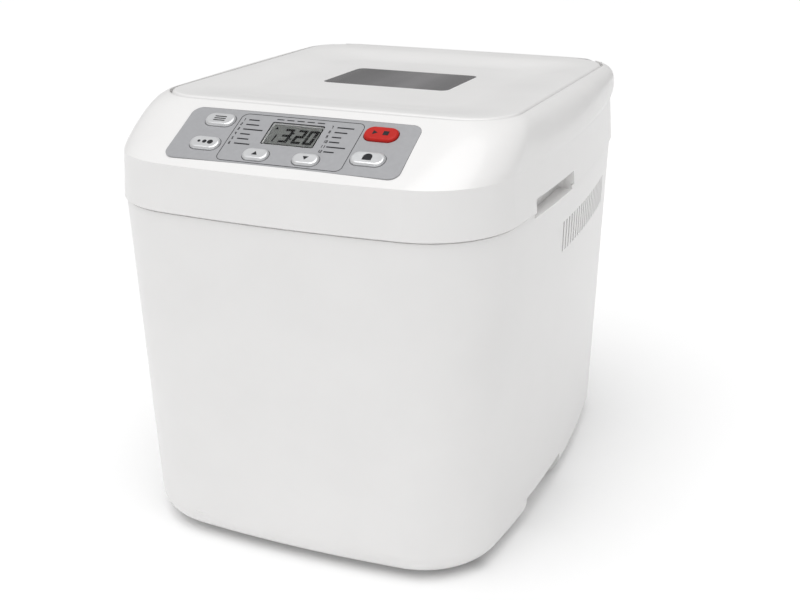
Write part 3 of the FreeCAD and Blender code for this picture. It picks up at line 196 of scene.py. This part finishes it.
def slope_matrix(x, up, face):
    """Place of a print on the console, just clear of a face's level over the label's seat."""
    turn = Matrix.Rotation(SLOPE_TURN, 4, "X")
    out = face + INK_LIFT - SEAT_DEPTH
    place = turn @ Vector(((x + LABEL_SHIFT) * MM, up * MM, out * MM))
    return Matrix.Translation(SLOPE_FOOT + place) @ turn


# Flat shapes as lists of corner points, in mm

CORNER_STEPS = 6
LEAST_RADIUS = 0.1


def arc_points(x, y, radius, start, end, steps):
    """Points along an arc about x, y, with its angles in degrees."""
    angles = [math.radians(start + (end - start) * i / steps) for i in range(steps + 1)]
    return [(x + radius * math.cos(angle), y + radius * math.sin(angle)) for angle in angles]


def disc(x, y, radius, corners):
    """Closed ring of corners about x, y."""
    return arc_points(x, y, radius, 0, 360 - 360 / corners, corners - 1)


def bar(left, right, low, high):
    """Upright rectangle."""
    return [(left, low), (right, low), (right, high), (left, high)]


def triangle(width, height, sense):
    """Arrow head that points up, or down where the sense is -1."""
    foot = -height / 2 * sense
    return [(-width / 2, foot), (width / 2, foot), (0, -foot)]


def rounded(left, right, low, high, radius):
    """Rectangle with round corners."""
    points = arc_points(right - radius, high - radius, radius, 0, 90, CORNER_STEPS)
    points += arc_points(left + radius, high - radius, radius, 90, 180, CORNER_STEPS)
    points += arc_points(left + radius, low + radius, radius, 180, 270, CORNER_STEPS)
    points += arc_points(right - radius, low + radius, radius, 270, 360, CORNER_STEPS)
    return points


# Digits of seven bars: a top, b and c right, d bottom, e and f left, g middle

SEGMENTS = {"1": "bc", "2": "abged", "3": "abgcd", "4": "fgbc", "5": "afgcd", "6": "afgedc", "7": "abc",
            "8": "abcdefg", "9": "abcdfg", "0": "abcdef"}
GAP_SHARE = 0.12


def digit_shapes(digit, x, y, width, height, stroke, lean=0.0):
    """Bars of one digit, whose lower left corner is at x, y."""
    half = height / 2
    gap = stroke * GAP_SHARE
    places = {
        "a": (gap, width - gap, height - stroke, height),
        "b": (width - stroke, width, half + gap, height - gap),
        "c": (width - stroke, width, gap, half - gap),
        "d": (gap, width - gap, 0, stroke),
        "e": (0, stroke, gap, half - gap),
        "f": (0, stroke, half + gap, height - gap),
        "g": (gap, width - gap, half - stroke / 2, half + stroke / 2),
    }
    shapes = []
    for part in SEGMENTS[digit]:
        shapes.append([(x + px + py * lean, y + py) for px, py in bar(*places[part])])
    return shapes


# Prints as pieces of their own

def print_mesh(name, vertices, faces, matrix, material, body):
    """Flat print with a slight depth, riding on a body."""
    mesh = bpy.data.meshes.new(name)
    mesh.from_pydata([(x * MM, y * MM, 0) for x, y in vertices], [], faces)
    mesh.update()
    mesh.materials.append(material)
    piece = bpy.data.objects.new(name, mesh)
    scene.collection.objects.link(piece)
    thick = piece.modifiers.new("depth", "SOLIDIFY")
    thick.thickness = INK_DEPTH * MM
    thick.offset = 1
    piece.matrix_world = matrix
    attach(piece, body)


def shapes_print(name, shapes, matrix, material, body):
    """Several closed shapes as one print."""
    vertices = []
    faces = []
    for shape in shapes:
        faces.append(tuple(range(len(vertices), len(vertices) + len(shape))))
        vertices += shape
    print_mesh(name, vertices, faces, matrix, material, body)


def outline_print(name, left, right, low, high, radius, width, material):
    """Thin line on the label, along the inside of a rounded rectangle."""
    outer = rounded(left, right, low, high, radius)
    inner_radius = max(radius - width, LEAST_RADIUS)
    inner = rounded(left + width, right - width, low + width, high - width, inner_radius)
    count = len(outer)
    faces = []
    for i in range(count):
        after = (i + 1) % count
        faces.append((i, after, count + after, count + i))
    matrix = slope_matrix(0, 0, LABEL_FACE)
    print_mesh(name, outer + inner, faces, matrix, material, "housing")


# Label: inner line, programme list as plain numbers and bars, scale marks over the display

INNER_LINE = dict(left=-37.6, right=37.6, low=9.3, high=48.7, radius=4, width=0.35)
LIST_LEFTS = (-35.6, 18.6)
LIST_ROWS = 6
LIST_TOP = 42.6
LIST_STEP = 4.0
LIST_DIGIT = dict(width=1.05, height=2.2, stroke=0.36)
LIST_PITCH = 1.5
BAR_LENGTHS = (6.5, 8, 12, 6, 7, 9.5, 10, 7.5, 5.5, 6, 11, 6)
BAR_START = 3.5
BAR_LOW = 0.6
BAR_HIGH = 1.5
SCALE_MARKS = 5
SCALE_LEFT = -15.5
SCALE_STEP = 6.2
SCALE_LENGTH = 4.4
SCALE_LOW = 45.6
SCALE_HIGH = 46.3


def list_entry(number, length):
    """Number and bar of one line of the list, which has two columns."""
    column, row = divmod(number - 1, LIST_ROWS)
    left = LIST_LEFTS[column]
    low = LIST_TOP - row * LIST_STEP
    shapes = []
    for i, digit in enumerate(str(number)):
        shapes += digit_shapes(digit, left + i * LIST_PITCH, low, **LIST_DIGIT)
    bar_left = left + BAR_START
    shapes.append(bar(bar_left, bar_left + length, low + BAR_LOW, low + BAR_HIGH))
    return shapes


def print_label():
    outline_print("label_inner_line", **INNER_LINE, material=INK)
    shapes = []
    for number, length in enumerate(BAR_LENGTHS, 1):
        shapes += list_entry(number, length)
    for i in range(SCALE_MARKS):
        left = SCALE_LEFT + i * SCALE_STEP
        shapes.append(bar(left, left + SCALE_LENGTH, SCALE_LOW, SCALE_HIGH))
    face = slope_matrix(0, 0, LABEL_FACE)
    shapes_print("programme_list", shapes, face, INK, "housing")


# Display: digits of a time, colon, programme number, pointer and the line round the lens

DISPLAY_X = -1
DISPLAY_UP = 34.5
DIGIT_LOW = -5.8
TIME_DIGIT = dict(width=5.6, height=11.4, stroke=1.75, lean=0.1)
TIME_PLACES = (("3", -7.4), ("2", 0.6), ("0", 7.4))
COLON_X = -0.6
COLON_LEVELS = (-2.4, 2.2)
COLON_RADIUS = 0.65
COLON_CORNERS = 12
PROGRAMME = "1"
PROGRAMME_X = -13.0
PROGRAMME_DIGIT = dict(width=2.8, height=6.0, stroke=0.9, lean=0.1)
POINTER = [(-13.2, 4.6), (-11.0, 4.6), (-12.1, 6.4)]
LENS_LINE = dict(left=-16.9, right=14.9, low=25.3, high=43.7, radius=1.1, width=0.5)


def print_display():
    shapes = []
    for digit, x in TIME_PLACES:
        shapes += digit_shapes(digit, x, DIGIT_LOW, **TIME_DIGIT)
    for y in COLON_LEVELS:
        shapes.append(disc(COLON_X, y, COLON_RADIUS, COLON_CORNERS))
    shapes += digit_shapes(PROGRAMME, PROGRAMME_X, DIGIT_LOW, **PROGRAMME_DIGIT)
    shapes.append(POINTER)
    face = slope_matrix(DISPLAY_X, DISPLAY_UP, DISPLAY_FACE)
    shapes_print("display_digits", shapes, face, SEGMENT, "housing")
    outline_print("lens_line", **LENS_LINE, material=SEGMENT)


# Signs on the keys

KEY_SIDE = 49
KEY_UPPER = 41
KEY_LOWER = 21
ARROW_SIDE = 15
ARROW_UP = 15.8
MENU_LEVELS = (-1.6, 0, 1.6)
MENU_HALF_LENGTH = 3.6
MENU_HALF_STROKE = 0.35
SHADE_DOTS = ((-3.4, 0.9), (0, 1.3), (3.6, 1.7))
SHADE_CORNERS = 24
ARROW_WIDTH = 3.4
ARROW_HEIGHT = 2.8
LOAF_RADIUS = 2.6
LOAF_SHOULDER = 0.4
LOAF_FOOT = -2.0
LOAF_STEPS = 14
PLAY_SIGN = [(-4.6, -1.7), (-4.6, 1.7), (-1.8, 0)]
STOP_SIGN = bar(1.4, 4.6, -1.6, 1.6)


def key_mark(name, x, up, body, shapes):
    shapes_print(name, shapes, slope_matrix(x, up, BUTTON_FACE), INK, body)


def print_keys():
    lines = []
    for y in MENU_LEVELS:
        lines.append(bar(-MENU_HALF_LENGTH, MENU_HALF_LENGTH, y - MENU_HALF_STROKE, y + MENU_HALF_STROKE))
    dots = [disc(x, 0, radius, SHADE_CORNERS) for x, radius in SHADE_DOTS]
    up_arrow = triangle(ARROW_WIDTH, ARROW_HEIGHT, 1)
    down_arrow = triangle(ARROW_WIDTH, ARROW_HEIGHT, -1)
    loaf = arc_points(0, LOAF_SHOULDER, LOAF_RADIUS, 0, 180, LOAF_STEPS)
    loaf += [(-LOAF_RADIUS, LOAF_FOOT), (LOAF_RADIUS, LOAF_FOOT)]
    key_mark("menu_mark", -KEY_SIDE, KEY_UPPER, "menu_key", lines)
    key_mark("shade_mark", -KEY_SIDE, KEY_LOWER, "colour_key", dots)
    key_mark("up_mark", -ARROW_SIDE, ARROW_UP, "up_key", [up_arrow])
    key_mark("down_mark", ARROW_SIDE, ARROW_UP, "down_key", [down_arrow])
    key_mark("loaf_mark", KEY_SIDE, KEY_LOWER, "loaf_key", [loaf])
    key_mark("start_mark", KEY_SIDE, KEY_UPPER, "start_key", [PLAY_SIGN, STOP_SIGN])


# Floor and light, in metres and degrees

FLOOR_HALF = 6.0
FLOOR_LOOK = dict(colour=(0.93, 0.93, 0.93), roughness=0.9, spread=0.005, scale=3)
FLOOR_GLOW = 0.04
WHITE_LIGHT = (1, 1, 1, 1)
DARK_SIDE = (0.8, 0.6, 0)
FADE_START = -0.3
FADE_END = 0.8
BRIGHT_STRENGTH = 0.47
DARK_STRENGTH = 0.32
LIGHT_TURN = 8
LIGHT_HEIGHT = 77
LIGHT_STRENGTH = 2.1
LIGHT_SPREAD = 60


def add_floor():
    """Plain pale floor that glows a little, so that it fades into the backdrop."""
    corners = [(x, y, 0) for x, y in bar(-FLOOR_HALF, FLOOR_HALF, -FLOOR_HALF, FLOOR_HALF)]
    mesh = bpy.data.meshes.new("floor")
    mesh.from_pydata(corners, [], [(0, 1, 2, 3)])
    floor = bpy.data.objects.new("floor", mesh)
    scene.collection.objects.link(floor)
    material = finish_material("floor_white", **FLOOR_LOOK)
    surface = material.node_tree.nodes["Principled BSDF"]
    surface.inputs["Emission Color"].default_value = WHITE_LIGHT
    surface.inputs["Emission Strength"].default_value = FLOOR_GLOW
    mesh.materials.append(material)


def add_backdrop():
    """White surroundings that fade a little towards the dark side."""
    world = bpy.data.worlds.new("studio")
    scene.world = world
    world.use_nodes = True
    tree = world.node_tree
    background = tree.nodes["Background"]
    background.inputs["Color"].default_value = WHITE_LIGHT
    direction = tree.nodes.new("ShaderNodeTexCoord")
    share = tree.nodes.new("ShaderNodeVectorMath")
    share.operation = "DOT_PRODUCT"
    share.inputs[1].default_value = DARK_SIDE
    fade = tree.nodes.new("ShaderNodeMapRange")
    fade.inputs["From Min"].default_value = FADE_START
    fade.inputs["From Max"].default_value = FADE_END
    fade.inputs["To Min"].default_value = BRIGHT_STRENGTH
    fade.inputs["To Max"].default_value = DARK_STRENGTH
    tree.links.new(direction.outputs["Generated"], share.inputs[0])
    tree.links.new(share.outputs["Value"], fade.inputs["Value"])
    tree.links.new(fade.outputs["Result"], background.inputs["Strength"])


def add_light():
    """Wide soft light, a turn to the right of the front and high above the floor."""
    lamp = bpy.data.lights.new("high_key", "SUN")
    lamp.energy = LIGHT_STRENGTH
    lamp.angle = math.radians(LIGHT_SPREAD)
    light = bpy.data.objects.new("high_key", lamp)
    scene.collection.objects.link(light)
    light.rotation_euler = (math.radians(90 - LIGHT_HEIGHT), 0, math.radians(LIGHT_TURN))


# Camera, fitted to the photograph's edges

CAMERA_PLACE = Vector((301.67, -688.78, 407.6)) * MM
CAMERA_TURN = math.radians(23.07)
CAMERA_DIP = math.radians(21.42)
CAMERA_ROLL = math.radians(-0.58)
SENSOR_WIDTH_MM = 36
LENS_MM = 54.6
CLIP_START = 0.05
CLIP_END = 50


def camera_rotation():
    """Rotation from the camera's turn to the left, its dip and its roll."""
    reach = math.cos(CAMERA_DIP)
    ahead = Vector((-math.sin(CAMERA_TURN) * reach, math.cos(CAMERA_TURN) * reach, -math.sin(CAMERA_DIP)))
    level = Vector((math.cos(CAMERA_TURN), math.sin(CAMERA_TURN), 0))
    above = level.cross(ahead)
    across = math.cos(CAMERA_ROLL) * level + math.sin(CAMERA_ROLL) * above
    upward = math.cos(CAMERA_ROLL) * above - math.sin(CAMERA_ROLL) * level
    return Matrix((across, upward, -ahead)).transposed()


def add_camera():
    data = bpy.data.cameras.new("camera")
    data.sensor_width = SENSOR_WIDTH_MM
    data.lens = LENS_MM
    data.clip_start = CLIP_START
    data.clip_end = CLIP_END
    camera = bpy.data.objects.new("camera", data)
    scene.collection.objects.link(camera)
    camera.matrix_world = Matrix.Translation(CAMERA_PLACE) @ camera_rotation().to_4x4()
    scene.camera = camera


dress_solids()
print_label()
print_display()
print_keys()
add_floor()
add_backdrop()
add_light()
add_camera()
scene.view_settings.view_transform = "Standard"
